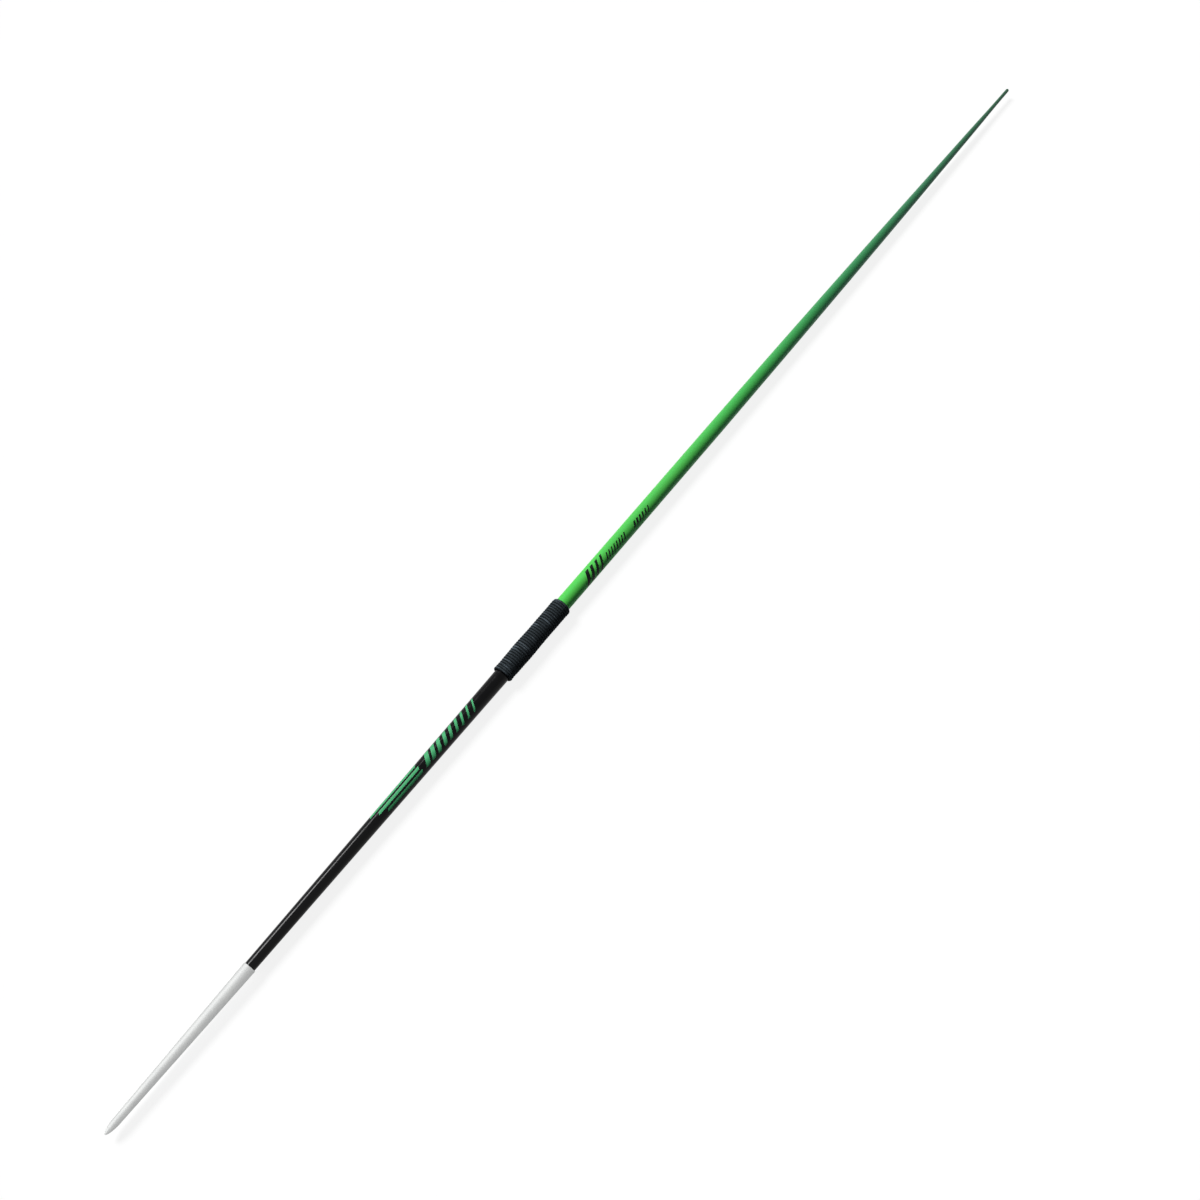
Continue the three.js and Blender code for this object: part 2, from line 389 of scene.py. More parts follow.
def black_enamel():
    """Black stove enamel: a weak, soft-edged gloss over near-black, dulled here and there by handling."""
    made, tree, shader, place = new_material("black_enamel", Specular_IOR_Level=0.13)
    haze = add(tree, "ShaderNodeTexNoise", None, {
        "Vector": place, "Scale": 1 / ENAMEL_HAZE, "Detail": 4.0,
    }).outputs[0]
    tone = add(tree, "ShaderNodeMix", {"data_type": "RGBA"}, {
        "Factor": haze, MIX_FIRST: linear("#040405"), MIX_SECOND: linear("#09090C"),
    }).outputs[MIX_RESULT]
    tree.links.new(tone, shader.inputs["Base Color"])
    dull = add(tree, "ShaderNodeMapRange", None, {
        "Value": haze, "From Min": NOISE_LOW, "From Max": NOISE_HIGH, "To Min": 0.16, "To Max": 0.26,
    }).outputs[0]
    tree.links.new(dull, shader.inputs["Roughness"])
    return made


def green_enamel():
    """Satin green enamel with a cool, minty gloss, whose colour darkens to a greyer, deeper green towards
    the tail, partly the paint's own gradient and partly painted shade.
    """
    made, tree, shader, place = new_material(
        "green_enamel", Specular_IOR_Level=0.6, Roughness=0.45, Specular_Tint=linear("#30C8B0"),
    )
    along = add(tree, "ShaderNodeSeparateXYZ", None, {"Vector": place}).outputs["X"]
    share = add(tree, "ShaderNodeMapRange", None, {
        "Value": along, "From Max": OVERALL_LENGTH - GRIP_MIDDLE,
    }).outputs[0]
    # The colour along the shaft: the paint's own gradient, with painted shade for the light falling off
    # towards the tail
    fade_and_shade = add(tree, "ShaderNodeValToRGB", None, {"Fac": share})
    stops = fade_and_shade.color_ramp.elements
    stops[0].color = linear(GREEN_FADE_AND_SHADE[0][1])
    stops[1].color = linear(GREEN_FADE_AND_SHADE[-1][1])
    for at, colour in GREEN_FADE_AND_SHADE[1:-1]:
        stops.new(at).color = linear(colour)
    tree.links.new(fade_and_shade.outputs[0], shader.inputs["Base Color"])
    return made


def printed_ink(name, thin, full):
    """Screen-printed ink: a dull film whose cover varies a little, over the gloss of the enamel."""
    made, tree, shader, place = new_material(name, Specular_IOR_Level=0.12)
    cover = add(tree, "ShaderNodeTexNoise", None, {
        "Vector": place, "Scale": 1 / INK_COVER, "Detail": 4.0,
    }).outputs[0]
    tone = add(tree, "ShaderNodeMix", {"data_type": "RGBA"}, {
        "Factor": cover, MIX_FIRST: linear(thin), MIX_SECOND: linear(full),
    }).outputs[MIX_RESULT]
    tree.links.new(tone, shader.inputs["Base Color"])
    dull = add(tree, "ShaderNodeMapRange", None, {
        "Value": cover, "From Min": NOISE_LOW, "From Max": NOISE_HIGH, "To Min": 0.32, "To Max": 0.46,
    }).outputs[0]
    tree.links.new(dull, shader.inputs["Roughness"])
    return made


def braid_height(tree, along, around):
    """How high the upper of two crossing sets of strands lies, from -1 to 1, at a place on the cord."""
    picks = add(tree, "ShaderNodeMath", {"operation": "MULTIPLY"}, {0: along, 1: 2 * math.pi / BRAID_PICK})
    sets = []
    for starts in (BRAID_STARTS, -BRAID_STARTS):
        phase = add(tree, "ShaderNodeMath", {"operation": "MULTIPLY_ADD"}, {
            0: around, 1: 2 * math.pi * starts, 2: picks.outputs[0],
        }).outputs[0]
        sets.append(add(tree, "ShaderNodeMath", {"operation": "SINE"}, {0: phase}).outputs[0])
    return add(tree, "ShaderNodeMath", {"operation": "MAXIMUM"}, {0: sets[0], 1: sets[1]}).outputs[0]


def braided_cord():
    """Black braided cord: strands that cross both ways round it, with flanks darkened by painted shade
    towards the gaps between its turns. Crowns and raised strands carry a painted pale bluish-grey highlight,
    in streaks along the turns that are partly scuffed fibres and partly painted sheen."""
    made, tree, shader, place = new_material(
        "braided_cord", Specular_IOR_Level=0.1, Roughness=0.85, Sheen_Weight=0.12, Sheen_Roughness=0.4,
        Sheen_Tint=linear("#B9D4E6"),
    )
    lay = add(tree, "ShaderNodeUVMap", {"uv_map": "UVMap"}).outputs[0]
    lay = add(tree, "ShaderNodeSeparateXYZ", None, {"Vector": lay}).outputs
    braid = braid_height(tree, lay["X"], lay["Y"])
    fibre = add(tree, "ShaderNodeTexNoise", None, {
        "Vector": place, "Scale": 1 / CORD_FIBRE, "Detail": 2.0,
    }).outputs[0]
    streaks = add(tree, "ShaderNodeMapping", None, {
        "Vector": place, "Scale": grain_scale(*CORD_WEAR_AND_SHEEN),
    }).outputs[0]
    wear_and_sheen_noise = add(tree, "ShaderNodeTexNoise", None, {"Vector": streaks, "Scale": 1.0, "Detail": 3.0}).outputs[0]
    strand = add(tree, "ShaderNodeMapRange", None, {
        "Value": braid, "From Min": -0.4, "From Max": 0.9, "To Min": 0.55, "To Max": 1.0,
    }).outputs[0]
    # Painted highlight and shade: each turn's crown and raised strands lighter, its flanks towards the gaps
    # between turns darker
    crown = add(tree, "ShaderNodeMath", {"operation": "PINGPONG"}, {0: lay["Y"], 1: 0.5}).outputs[0]
    crown = add(tree, "ShaderNodeMapRange", {"interpolation_type": "SMOOTHSTEP"}, {
        "Value": crown, "From Min": 0.34, "From Max": 0.48,
    }).outputs[0]
    painted_crown_highlight = add(tree, "ShaderNodeMath", {"operation": "MULTIPLY"}, {0: crown, 1: strand}).outputs[0]
    yarn = add(tree, "ShaderNodeMix", {"data_type": "RGBA"}, {
        "Factor": painted_crown_highlight, MIX_FIRST: linear("#0B0C0D"), MIX_SECOND: linear("#3B4348"),
    }).outputs[MIX_RESULT]
    # Pale bluish-grey streaks over the painted crown highlight, partly scuffed fibres and partly painted
    # sheen
    wear_and_sheen = add(tree, "ShaderNodeMapRange", None, {
        "Value": wear_and_sheen_noise, "From Min": 0.52, "From Max": NOISE_HIGH,
    }).outputs[0]
    wear_and_sheen = add(tree, "ShaderNodeMath", {"operation": "MULTIPLY"}, {0: wear_and_sheen, 1: painted_crown_highlight}).outputs[0]
    tone = add(tree, "ShaderNodeMix", {"data_type": "RGBA"}, {
        "Factor": wear_and_sheen, MIX_FIRST: yarn, MIX_SECOND: linear("#6A767F"),
    }).outputs[MIX_RESULT]
    tree.links.new(tone, shader.inputs["Base Color"])
    relief = add(tree, "ShaderNodeMath", {"operation": "MULTIPLY_ADD"}, {
        0: fibre, 1: 0.5, 2: strand,
    }).outputs[0]
    bump = add(tree, "ShaderNodeBump", None, {"Height": relief, "Strength": 0.8, "Distance": 0.12 * MM})
    tree.links.new(bump.outputs[0], shader.inputs["Normal"])
    return made


def nylon_plug():
    """Moulded green nylon: a dull skin with a faint mottle."""
    made, tree, shader, place = new_material("nylon_plug", Specular_IOR_Level=0.3)
    mottle = add(tree, "ShaderNodeTexNoise", None, {
        "Vector": place, "Scale": 1 / PLUG_MOTTLE, "Detail": 3.0,
    }).outputs[0]
    tone = add(tree, "ShaderNodeMix", {"data_type": "RGBA"}, {
        "Factor": mottle, MIX_FIRST: linear("#2C5741"), MIX_SECOND: linear("#35654C"),
    }).outputs[MIX_RESULT]
    tree.links.new(tone, shader.inputs["Base Color"])
    dull = add(tree, "ShaderNodeMapRange", None, {
        "Value": mottle, "From Min": NOISE_LOW, "From Max": NOISE_HIGH, "To Min": 0.42, "To Max": 0.55,
    }).outputs[0]
    tree.links.new(dull, shader.inputs["Roughness"])
    return made


def ash_dowel():
    """Turned ash: pale wood with darker grain drawn out along the dowel."""
    made, tree, shader, place = new_material("ash_dowel", Specular_IOR_Level=0.3)
    drawn = add(tree, "ShaderNodeMapping", None, {
        "Vector": place, "Scale": grain_scale(*ASH_GRAIN),
    }).outputs[0]
    grain = add(tree, "ShaderNodeTexNoise", None, {
        "Vector": drawn, "Scale": 1.0, "Detail": 5.0, "Distortion": 0.6,
    }).outputs[0]
    line = add(tree, "ShaderNodeMapRange", None, {
        "Value": grain, "From Min": 0.4, "From Max": 0.62,
    }).outputs[0]
    tone = add(tree, "ShaderNodeMix", {"data_type": "RGBA"}, {
        "Factor": line, MIX_FIRST: linear("#D8B888"), MIX_SECOND: linear("#B08250"),
    }).outputs[MIX_RESULT]
    tree.links.new(tone, shader.inputs["Base Color"])
    dull = add(tree, "ShaderNodeMapRange", None, {
        "Value": line, "To Min": 0.6, "To Max": 0.75,
    }).outputs[0]
    tree.links.new(dull, shader.inputs["Roughness"])
    bump = add(tree, "ShaderNodeBump", None, {
        "Height": grain, "Strength": 0.3, "Distance": 0.1 * MM,
    }).outputs[0]
    tree.links.new(bump, shader.inputs["Normal"])
    return made


def turned_brass():
    """Turned brass: a yellow metal with fine feed rings and a little brown tarnish."""
    made, tree, shader, place = new_material("turned_brass", Metallic=1.0)
    rings = add(tree, "ShaderNodeMapping", None, {
        "Vector": place, "Scale": grain_scale(*BRASS_RINGS),
    }).outputs[0]
    feed = add(tree, "ShaderNodeTexNoise", None, {"Vector": rings, "Scale": 1.0, "Detail": 2.0}).outputs[0]
    tarnish = add(tree, "ShaderNodeTexNoise", None, {
        "Vector": place, "Scale": 1 / BRASS_TARNISH, "Detail": 4.0,
    }).outputs[0]
    tone = add(tree, "ShaderNodeMix", {"data_type": "RGBA"}, {
        "Factor": tarnish, MIX_FIRST: linear("#C9A65C"), MIX_SECOND: linear("#A67F3C"),
    }).outputs[MIX_RESULT]
    tree.links.new(tone, shader.inputs["Base Color"])
    dull = add(tree, "ShaderNodeMapRange", None, {
        "Value": feed, "From Min": NOISE_LOW, "From Max": NOISE_HIGH, "To Min": 0.24, "To Max": 0.4,
    }).outputs[0]
    tree.links.new(dull, shader.inputs["Roughness"])
    return made


def drawn_aluminium():
    """Drawn aluminium tube: pale grey metal with die lines along it."""
    made, tree, shader, place = new_material("drawn_aluminium", Metallic=1.0)
    drawn = add(tree, "ShaderNodeMapping", None, {
        "Vector": place, "Scale": grain_scale(*DIE_LINES),
    }).outputs[0]
    line = add(tree, "ShaderNodeTexNoise", None, {"Vector": drawn, "Scale": 1.0, "Detail": 3.0}).outputs[0]
    tone = add(tree, "ShaderNodeMix", {"data_type": "RGBA"}, {
        "Factor": line, MIX_FIRST: linear("#C2C5C8"), MIX_SECOND: linear("#D4D6D8"),
    }).outputs[MIX_RESULT]
    tree.links.new(tone, shader.inputs["Base Color"])
    dull = add(tree, "ShaderNodeMapRange", None, {
        "Value": line, "From Min": NOISE_LOW, "From Max": NOISE_HIGH, "To Min": 0.32, "To Max": 0.5,
    }).outputs[0]
    tree.links.new(dull, shader.inputs["Roughness"])
    return made


def cloth_tape():
    """Double-sided cloth tape: a plain weave whose threads are drawn at 0.8 mm, coarser than real ones."""
    made, tree, shader, place = new_material("cloth_tape", Specular_IOR_Level=0.2, Roughness=0.9)
    at = add(tree, "ShaderNodeSeparateXYZ", None, {"Vector": place}).outputs
    height = add(tree, "ShaderNodeMath", {"operation": "SUBTRACT"}, {0: at["Z"], 1: AXIS_HEIGHT}).outputs[0]
    turn = add(tree, "ShaderNodeMath", {"operation": "ARCTAN2"}, {0: at["Y"], 1: height}).outputs[0]
    warp = add(tree, "ShaderNodeMath", {"operation": "MULTIPLY"}, {0: turn, 1: TAPE_RADIUS}).outputs[0]
    threads = []
    for run in (at["X"], warp):
        wave = add(tree, "ShaderNodeMath", {"operation": "MULTIPLY"}, {
            0: run, 1: math.pi / TAPE_THREAD,
        }).outputs[0]
        threads.append(add(tree, "ShaderNodeMath", {"operation": "SINE"}, {0: wave}).outputs[0])
    weave = add(tree, "ShaderNodeMath", {"operation": "MULTIPLY"}, {0: threads[0], 1: threads[1]}).outputs[0]
    share = add(tree, "ShaderNodeMapRange", None, {
        "Value": weave, "From Min": -1.0, "From Max": 1.0,
    }).outputs[0]
    tone = add(tree, "ShaderNodeMix", {"data_type": "RGBA"}, {
        "Factor": share, MIX_FIRST: linear("#6F685C"), MIX_SECOND: linear("#968D7E"),
    }).outputs[MIX_RESULT]
    tree.links.new(tone, shader.inputs["Base Color"])
    bump = add(tree, "ShaderNodeBump", None, {
        "Height": share, "Strength": 0.5, "Distance": 0.1 * MM,
    }).outputs[0]
    tree.links.new(bump, shader.inputs["Normal"])
    return made


# Turned pieces

def finished(name, mesh, material, slot, *nodes):
    """Puts a finished mesh in the scene as a piece, which stands for the CAD nodes named with it, if any."""
    mesh.name = name
    piece = bpy.data.objects.new(name, mesh)
    bpy.context.scene.collection.objects.link(piece)
    # A grown mesh can bring an empty slot before its material's.
    mesh.materials.clear()
    mesh.materials.append(material)
    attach(piece, "root")
    if nodes:
        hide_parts(*nodes)


def turned(outline):
    """A closed mesh turned about the javelin's axis from a list of stations and radii. The outside runs
    towards the tail. An outline that doesn't start and end on the axis closes on itself."""
    points = []
    rings = []
    for station, radius in outline:
        count = TURNED_SIDES if radius > 0 else 1
        rings.append([len(points) + side % count for side in range(TURNED_SIDES)])
        for side in range(count):
            angle = 2 * math.pi * side / TURNED_SIDES
            points.append((
                station - GRIP_MIDDLE,
                radius * math.cos(angle),
                AXIS_HEIGHT + radius * math.sin(angle),
            ))
    if outline[0][1] > 0:
        rings.append(rings[0])
    faces = []
    for near, far in zip(rings, rings[1:]):
        for side in range(TURNED_SIDES):
            after = (side + 1) % TURNED_SIDES
            corners = [near[side], near[after], far[after], far[side]]
            face = list(dict.fromkeys(corners))
            if len(face) > 2:
                faces.append(face)
    mesh = bpy.data.meshes.new("turned")
    mesh.from_pydata(points, [], faces)
    mesh.validate()
    mesh.set_sharp_from_angle(angle=SHARP_ANGLE)
    return mesh


def tube(outside, wall):
    """The outline of a tube: its outside, and the same line back again one wall further in."""
    return [*outside, *[(station, radius - wall) for station, radius in reversed(outside)]]


def spread(start, end, steps):
    """Stations at even steps from start to end, both included."""
    return [start + (end - start) * step / steps for step in range(steps + 1)]


def head_radius(station):
    """The head's outside: a pointed ogive, then one long cone to the rim."""
    if station < POINT_LENGTH:
        return POINT_RADIUS * (1 - (1 - station / POINT_LENGTH) ** 2) ** POINT_POWER
    along = (station - POINT_LENGTH) / (HEAD_LENGTH - POINT_LENGTH)
    return POINT_RADIUS + (SHAFT_FRONT_RADIUS + HEAD_RIM_STEP - POINT_RADIUS) * along


def front_radius(station):
    """The front shaft's outside behind the head: a cone up to the grip, then parallel below it."""
    along = min((station - HEAD_LENGTH) / (GRIP_MIDDLE - GRIP_LENGTH / 2 - HEAD_LENGTH), 1)
    return SHAFT_FRONT_RADIUS + (SHAFT_RADIUS - SHAFT_FRONT_RADIUS) * along


def spline(points, steps):
    """Points at even steps along a smooth curve through the given points."""
    curve = []
    for step in range(steps + 1):
        place = (len(points) - 1) * step / steps
        first = min(int(place), len(points) - 2)
        t = place - first
        a, b, c, d = [Vector(points[min(max(first + i, 0), len(points) - 1)]) for i in (-1, 0, 1, 2)]
        entry, leave = (c - a) / 2, (d - b) / 2
        curve.append(((2 * b - 2 * c + entry + leave) * t + (3 * c - 3 * b - 2 * entry - leave)) * t * t
                     + entry * t + b)
    return curve


def build_head(material):
    """The head: its point, cone and rounded rim, then its socket and the hollow ahead of that."""
    neck_radius = SHAFT_FRONT_RADIUS - NECK_STEP + FIT_GAP
    socket_floor = HEAD_LENGTH - SOCKET_DEPTH
    hollow_floor = socket_floor - HOLLOW_DEPTH
    rim = SHAFT_FRONT_RADIUS + HEAD_RIM_STEP
    outline = [(POINT_LENGTH * share ** 2, head_radius(POINT_LENGTH * share ** 2))
               for share in spread(0, 1, POINT_STEPS)]
    outline += [(station, head_radius(station))
                for station in spread(POINT_LENGTH, HEAD_LENGTH - RIM_ROUND, HEAD_STEPS)[1:]]
    outline += [
        (HEAD_LENGTH - RIM_MIDDLE, rim - RIM_MIDDLE),
        (HEAD_LENGTH, rim - RIM_ROUND),
        (HEAD_LENGTH, SHAFT_FRONT_RADIUS + FIT_GAP),
        (HEAD_LENGTH - SHOULDER_LENGTH, neck_radius),
        (socket_floor, neck_radius),
        (socket_floor, head_radius(socket_floor) - HEAD_WALL),
        (hollow_floor, head_radius(hollow_floor) - HEAD_WALL),
        (hollow_floor - DRILL_POINT_DEPTH, 0),
    ]
    finished("steel_head", turned(outline), material, "steel", "head")


def build_front_shaft(material):
    """The front shaft: a tube with a neck for the head's socket, which ends in the middle of the grip."""
    neck = SHAFT_FRONT_RADIUS - NECK_STEP
    neck_front = HEAD_LENGTH - NECK_LENGTH
    cone = [(station, front_radius(station))
            for station in spread(HEAD_LENGTH, GRIP_MIDDLE - GRIP_LENGTH / 2, FRONT_STEPS)]
    outside = [
        (neck_front, neck - NECK_CHAMFER),
        (neck_front + NECK_CHAMFER, neck),
        (HEAD_LENGTH - SHOULDER_LENGTH, neck),
        *cone,
        (GRIP_MIDDLE - FIT_GAP / 2, SHAFT_RADIUS),
    ]
    finished("front_tube", turned(tube(outside, SHAFT_WALL)), material, "black_shaft", "front_shaft")


def build_rear_shaft(material):
    """The rear shaft: a tube that is parallel behind the grip and then tapers to the tail."""
    seam = TAIL_SEAT - FIT_GAP
    taper = spline([
        (TAPER_START + (seam - TAPER_START) * along, SHAFT_RADIUS - (SHAFT_RADIUS - TAIL_RADIUS) * down)
        for along, down in TAPER_SHARES
    ], TAPER_STEPS)
    parallel = [(station, SHAFT_RADIUS)
                for station in spread(GRIP_MIDDLE + FIT_GAP / 2, TAPER_START, PARALLEL_STEPS)[:-1]]
    outside = [*parallel, *[tuple(point) for point in taper]]
    finished("rear_tube", turned(tube(outside, SHAFT_WALL)), material, "green_shaft", "rear_shaft")


def build_tail_plug(material):
    """The plug: a spigot inside the rear shaft and a short band with a dome behind it."""
    spigot = TAIL_RADIUS - SHAFT_WALL - FIT_GAP
    dome_start = TAIL_SEAT + TAIL_BAND
    outline = [
        (TAIL_SEAT - TAIL_SPIGOT, 0),
        (TAIL_SEAT - TAIL_SPIGOT, spigot),
        (TAIL_SEAT, spigot),
        (TAIL_SEAT, TAIL_RADIUS),
    ]
    for turn in spread(0, math.pi / 2, DOME_STEPS)[:-1]:
        outline.append((dome_start + TAIL_DOME * math.sin(turn), TAIL_RADIUS * math.cos(turn)))
    outline.append((OVERALL_LENGTH, 0))
    finished("tail_cap", turned(outline), material, "tail_plastic", "tail_plug")


# Geometry trees

def new_tree(name, **values):
    """A geometry tree with a named input for each value, and the sockets that give them inside it."""
    kinds = {int: "NodeSocketInt", float: "NodeSocketFloat", bpy.types.Material: "NodeSocketMaterial"}
    tree = bpy.data.node_groups.new(name, "GeometryNodeTree")
    for key, value in values.items():
        tree.interface.new_socket(key.replace("_", " "), in_out="INPUT", socket_type=kinds[type(value)])
    tree.interface.new_socket("Geometry", in_out="OUTPUT", socket_type="NodeSocketGeometry")
    return tree, add(tree, "NodeGroupInput").outputs


def grown(tree, **values):
    """The plain mesh that a geometry tree makes from values for its named inputs."""
    holder = bpy.data.objects.new(tree.name, bpy.data.meshes.new(tree.name))
    bpy.context.scene.collection.objects.link(holder)
    modifier = holder.modifiers.new(tree.name, "NODES")
    modifier.node_group = tree
    for socket in tree.interface.items_tree:
        if socket.in_out == "INPUT":
            modifier[socket.identifier] = values[socket.name.replace(" ", "_")]
    graph = bpy.context.evaluated_depsgraph_get()
    mesh = bpy.data.meshes.new_from_object(holder.evaluated_get(graph), depsgraph=graph)
    bpy.data.objects.remove(holder)
    return mesh


def end_tree(tree, geometry, material):
    """Realizes what the tree has made, gives it its material and puts it out."""
    real = add(tree, "GeometryNodeRealizeInstances", None, {"Geometry": geometry})
    clad = add(tree, "GeometryNodeSetMaterial", None, {"Geometry": real.outputs[0], "Material": material})
    add(tree, "NodeGroupOutput", None, {"Geometry": clad.outputs[0]})


def wound_cord(**values):
    """One cord wound turn by turn round the grip: it swells and slackens a little, each end thins and tucks
    in below, and its underside is pressed flat on the floor."""
    tree, given = new_tree("wound_cord", **values)
    position = add(tree, "GeometryNodeInputPosition").outputs[0]
    # The cord's middle line, a helix that stands upright until the last step
    middle = add(tree, "ShaderNodeMath", {"operation": "MULTIPLY_ADD"}, {
        0: given["Cord Height"], 1: 0.5, 2: given["Core Radius"],
    }).outputs[0]
    reach = add(tree, "ShaderNodeMath", {"operation": "SUBTRACT"}, {
        0: given["Length"], 1: given["Cord Width"],
    }).outputs[0]
    helix = add(tree, "GeometryNodeCurveSpiral", None, {
        "Resolution": given["Steps"],
        "Rotations": given["Turns"],
        "Start Radius": middle,
        "End Radius": middle,
        "Height": reach,
    }).outputs[0]
    # How far each place lies out from that line: the swell along the grip and the slack from turn to turn
    course = add(tree, "GeometryNodeSplineParameter").outputs
    swell = add(tree, "ShaderNodeFloatCurve", None, {"Value": course["Factor"]})
    points = swell.mapping.curves[0].points
    points[0].location, points[-1].location = SWELL_SHARES[0], SWELL_SHARES[-1]
    for share in SWELL_SHARES[1:-1]:
        points.new(*share)
    swell.mapping.update()
    raised = add(tree, "ShaderNodeMapRange", None, {
        "Value": swell.outputs[0], "To Min": -SWELL / 2, "To Max": SWELL / 2,
    }).outputs[0]
    seeded = add(tree, "ShaderNodeMath", {"operation": "ADD"}, {0: course["Length"], 1: given["Seed"]})
    slack = add(tree, "ShaderNodeTexNoise", {"noise_dimensions": "1D"}, {
        "W": seeded.outputs[0],
        "Scale": 1 / LOOSE_WAVE,
        "Detail": 1.0,
    }).outputs[1]
    shift = add(tree, "ShaderNodeVectorMath", {"operation": "MULTIPLY_ADD"}, {
        0: slack,
        1: (LOOSENESS,) * 3,
        2: (-LOOSENESS / 2,) * 3,
    }).outputs[0]
    shift = add(tree, "ShaderNodeSeparateXYZ", None, {"Vector": shift}).outputs
    height = add(tree, "ShaderNodeMath", {"operation": "ADD"}, {0: raised, 1: shift["X"]}).outputs[0]
    # Each end thins and sinks, and runs level for part of a turn
    end = add(tree, "ShaderNodeMath", {"operation": "PINGPONG"}, {0: course["Factor"], 1: 0.5}).outputs[0]
    thickness = add(tree, "ShaderNodeMapRange", {"interpolation_type": "SMOOTHERSTEP"}, {
        "Value": end, "From Max": TUCKED_TURN / CORD_TURNS, "To Min": TUCKED_SHARE,
    }).outputs[0]
    sunk = add(tree, "ShaderNodeMapRange", None, {
        "Value": thickness, "To Min": -CORD_HEIGHT / 2, "To Max": 0.0,
    }).outputs[0]
    height = add(tree, "ShaderNodeMath", {"operation": "ADD"}, {0: height, 1: sunk}).outputs[0]
    level = add(tree, "ShaderNodeMapRange", None, {
        "Value": course["Factor"], "To Max": reach,
        "From Min": LEVEL_TURN / CORD_TURNS, "From Max": 1 - LEVEL_TURN / CORD_TURNS,
    }).outputs[0]
    outward = add(tree, "ShaderNodeVectorMath", {"operation": "MULTIPLY"}, {
        0: position, 1: (1, 1, 0),
    }).outputs[0]
    outward = add(tree, "ShaderNodeVectorMath", {"operation": "NORMALIZE"}, {0: outward}).outputs[0]
    outward = add(tree, "ShaderNodeVectorMath", {"operation": "SCALE"}, {
        0: outward, "Scale": height,
    }).outputs[0]
    ring = add(tree, "ShaderNodeVectorMath", {"operation": "MULTIPLY_ADD"}, {
        0: position, 1: (1, 1, 0), 2: outward,
    }).outputs[0]
    level = add(tree, "ShaderNodeMath", {"operation": "ADD"}, {0: level, 1: shift["Y"]}).outputs[0]
    course_place = add(tree, "ShaderNodeVectorMath", {"operation": "ADD"}, {
        0: ring,
        1: add(tree, "ShaderNodeCombineXYZ", None, {"Z": level}).outputs[0],
    }).outputs[0]
    lain = add(tree, "GeometryNodeSetPosition", None, {
        "Geometry": helix, "Position": course_place,
    }).outputs[0]
    lain = add(tree, "GeometryNodeSetCurveNormal", {"mode": "Z_UP"}, {"Curve": lain}).outputs[0]
    lain = add(tree, "GeometryNodeStoreNamedAttribute", None, {
        "Geometry": lain, "Name": "along", "Value": course["Length"],
    }).outputs[0]
    # The cord's oval section, drawn along the line
    section = add(tree, "GeometryNodeCurvePrimitiveCircle", None, {
        "Resolution": given["Sides"], "Radius": 0.5,
    }).outputs[0]
    section = add(tree, "GeometryNodeStoreNamedAttribute", None, {
        "Geometry": section, "Name": "around", "Value": course["Factor"],
    }).outputs[0]
    section = add(tree, "GeometryNodeTransform", None, {
        "Geometry": section,
        "Scale": add(tree, "ShaderNodeCombineXYZ", None, {
            "X": given["Cord Height"], "Y": given["Cord Width"], "Z": 1.0,
        }).outputs[0],
    }).outputs[0]
    body = add(tree, "GeometryNodeCurveToMesh", None, {
        "Curve": lain, "Profile Curve": section, "Scale": thickness, "Fill Caps": True,
    }).outputs[0]
    # The braid, raised on the surface, and its UV map
    along = add(tree, "GeometryNodeInputNamedAttribute", None, {"Name": "along"}).outputs[0]
    around = add(tree, "GeometryNodeInputNamedAttribute", None, {"Name": "around"}).outputs[0]
    relief = add(tree, "ShaderNodeMath", {"operation": "MULTIPLY"}, {
        0: braid_height(tree, along, around), 1: BRAID_DEPTH,
    }).outputs[0]
    relief = add(tree, "ShaderNodeVectorMath", {"operation": "SCALE"}, {
        0: add(tree, "GeometryNodeInputNormal").outputs[0], "Scale": relief,
    }).outputs[0]
    body = add(tree, "GeometryNodeStoreNamedAttribute", {"data_type": "FLOAT2", "domain": "CORNER"}, {
        "Geometry": body,
        "Name": "UVMap",
        "Value": add(tree, "ShaderNodeCombineXYZ", None, {"X": along, "Y": around}).outputs[0],
    }).outputs[0]
    body = add(tree, "GeometryNodeSetPosition", None, {"Geometry": body, "Offset": relief}).outputs[0]
    for used in ("along", "around"):
        body = add(tree, "GeometryNodeRemoveAttribute", None, {"Geometry": body, "Name": used}).outputs[0]
    # Laid along the javelin and pressed on the floor
    halfway = add(tree, "ShaderNodeMath", {"operation": "MULTIPLY"}, {0: reach, 1: -0.5}).outputs[0]
    start = add(tree, "ShaderNodeCombineXYZ", None, {"X": halfway, "Z": given["Axis Height"]}).outputs[0]
    body = add(tree, "GeometryNodeTransform", None, {
        "Geometry": body,
        "Translation": start,
        "Rotation": (0, math.pi / 2, 0),
    }).outputs[0]
    pressed = add(tree, "ShaderNodeVectorMath", {"operation": "MAXIMUM"}, {
        0: position, 1: (-OVERALL_LENGTH, -OVERALL_LENGTH, 0),
    }).outputs[0]
    body = add(tree, "GeometryNodeSetPosition", None, {"Geometry": body, "Position": pressed}).outputs[0]
    body = add(tree, "GeometryNodeSetShadeSmooth", None, {"Geometry": body}).outputs[0]
    end_tree(tree, body, given["Cord"])
    return grown(tree, **values)


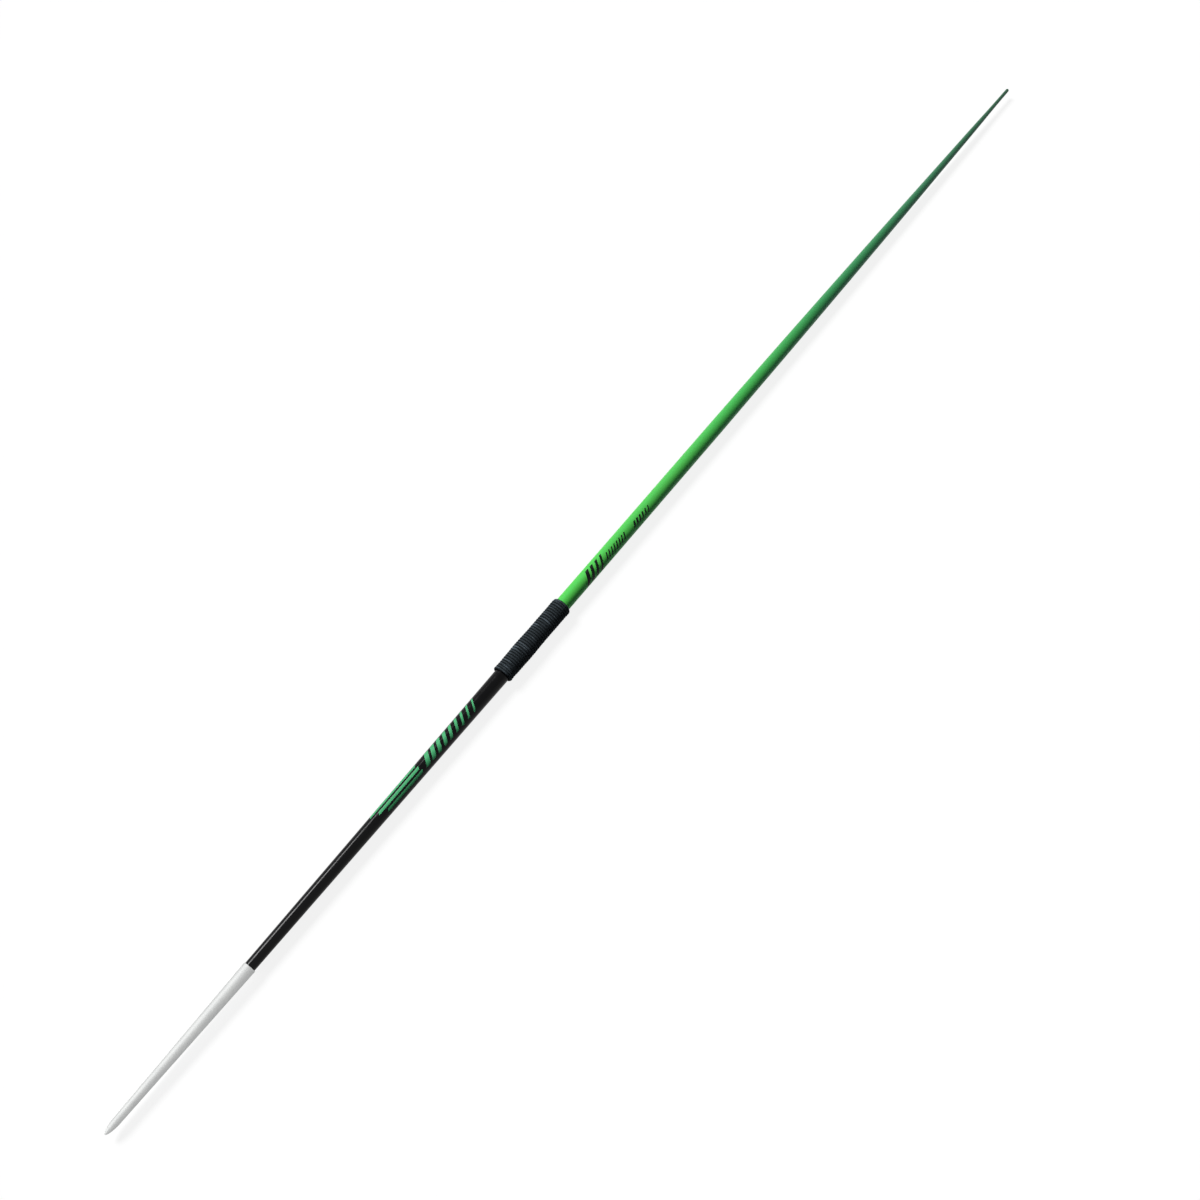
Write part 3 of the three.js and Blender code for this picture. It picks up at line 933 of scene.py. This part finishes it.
def slanted_bars(**values):
    """A row of slanted bars printed on a shaft: thin slabs that follow its round surface and its taper."""
    tree, given = new_tree("slanted_bars", **values)
    first = add(tree, "ShaderNodeCombineXYZ", None, {"X": given["First Place"], "Y": given["First Arc"]})
    step = add(tree, "ShaderNodeCombineXYZ", None, {"X": given["Pitch"], "Y": given["Arc Step"]})
    row = add(tree, "GeometryNodeMeshLine", None, {
        "Count": given["Count"], "Start Location": first.outputs[0], "Offset": step.outputs[0],
    }).outputs[0]
    bar = add(tree, "GeometryNodeMeshCube", None, {
        "Size": (1, 1, INK_THICKNESS), "Vertices X": 3, "Vertices Y": BAR_STEPS, "Vertices Z": 2,
    }).outputs[0]
    last = add(tree, "ShaderNodeMath", {"operation": "SUBTRACT"}, {0: given["Count"], 1: 1}).outputs[0]
    share = add(tree, "ShaderNodeMath", {"operation": "DIVIDE"}, {
        0: add(tree, "GeometryNodeInputIndex").outputs[0], 1: last,
    }).outputs[0]
    width = add(tree, "ShaderNodeMapRange", None, {
        "Value": share, "To Min": given["First Width"], "To Max": given["Last Width"],
    }).outputs[0]
    size = add(tree, "ShaderNodeCombineXYZ", None, {"X": width, "Y": given["Height"], "Z": 1.0}).outputs[0]
    bars = add(tree, "GeometryNodeInstanceOnPoints", None, {
        "Points": row, "Instance": bar, "Scale": size,
    }).outputs[0]
    bars = add(tree, "GeometryNodeRealizeInstances", None, {"Geometry": bars}).outputs[0]
    flat = add(tree, "ShaderNodeSeparateXYZ", None, {
        "Vector": add(tree, "GeometryNodeInputPosition").outputs[0],
    }).outputs
    along = add(tree, "ShaderNodeMath", {"operation": "MULTIPLY_ADD"}, {
        0: flat["Y"], 1: -math.tan(BAR_SLANT), 2: flat["X"],
    }).outputs[0]
    surface = add(tree, "ShaderNodeMath", {"operation": "MULTIPLY_ADD"}, {
        0: along, 1: given["Taper"], 2: given["Middle Radius"],
    }).outputs[0]
    lift = add(tree, "ShaderNodeMath", {"operation": "ADD"}, {0: flat["Z"], 1: INK_LIFT}).outputs[0]
    radius = add(tree, "ShaderNodeMath", {"operation": "ADD"}, {0: surface, 1: lift}).outputs[0]
    angle = add(tree, "ShaderNodeMath", {"operation": "DIVIDE"}, {0: flat["Y"], 1: surface}).outputs[0]
    wrapped = add(tree, "ShaderNodeVectorRotate", {"rotation_type": "X_AXIS"}, {
        "Vector": add(tree, "ShaderNodeCombineXYZ", None, {"X": along, "Z": radius}).outputs[0],
        "Angle": angle,
    }).outputs[0]
    placed = add(tree, "ShaderNodeVectorMath", {"operation": "ADD"}, {
        0: wrapped, 1: (0, 0, AXIS_HEIGHT),
    }).outputs[0]
    bars = add(tree, "GeometryNodeSetPosition", None, {"Geometry": bars, "Position": placed}).outputs[0]
    # An arc runs from the top to -Y, which has turned the slabs inside out.
    bars = add(tree, "GeometryNodeFlipFaces", None, {"Mesh": bars}).outputs[0]
    end_tree(tree, bars, given["Ink"])
    return grown(tree, **values)


def build_grip(material):
    """Winds the cord over the whole length of the grip."""
    pitch = GRIP_LENGTH / (CORD_TURNS + 1)
    mesh = wound_cord(
        Turns=float(CORD_TURNS),
        Length=GRIP_LENGTH,
        Core_Radius=TAPE_RADIUS,
        Cord_Width=pitch * CORD_OVERLAP,
        Cord_Height=CORD_HEIGHT,
        Steps=CORD_STEPS,
        Sides=CORD_SIDES,
        Seed=LOOSE_SEED,
        Axis_Height=AXIS_HEIGHT,
        Cord=material,
    )
    finished("grip_winding", mesh, material, "cord", "grip_cord")


def build_marks(rows, taper, middle_radius, material, slot):
    """Prints rows of bars on a shaft, whose radius is given as at the grip's middle, and its taper."""
    for name, sizes in rows.items():
        row = {**sizes, "First_Place": sizes["First_Place"] - GRIP_MIDDLE}
        mesh = slanted_bars(Taper=taper, Middle_Radius=middle_radius, Ink=material, **row)
        finished(name, mesh, material, slot)


place_camera()
build_studio()
build_grip(braided_cord())
front_taper = (SHAFT_RADIUS - SHAFT_FRONT_RADIUS) / (GRIP_MIDDLE - GRIP_LENGTH / 2 - HEAD_LENGTH)
front_middle = SHAFT_FRONT_RADIUS + front_taper * (GRIP_MIDDLE - HEAD_LENGTH)
green_ink = printed_ink("green_ink", "#4DB877", "#5CC888")
black_ink = printed_ink("black_ink", "#08100C", "#0C1812")
build_marks(FRONT_MARKS, front_taper, front_middle, green_ink, "green_shaft")
build_marks(REAR_MARKS, 0.0, SHAFT_RADIUS, black_ink, "black_shaft")
build_head(turned_steel())
build_front_shaft(black_enamel())
build_rear_shaft(green_enamel())
build_tail_plug(nylon_plug())
inner = {
    "nose_dowel": ash_dowel(),
    "balance_weight": turned_brass(),
    "joint_sleeve": drawn_aluminium(),
    "grip_tape": cloth_tape(),
}
for node, material in inner.items():
    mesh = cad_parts[node].data
    mesh.materials.clear()
    mesh.materials.append(material)
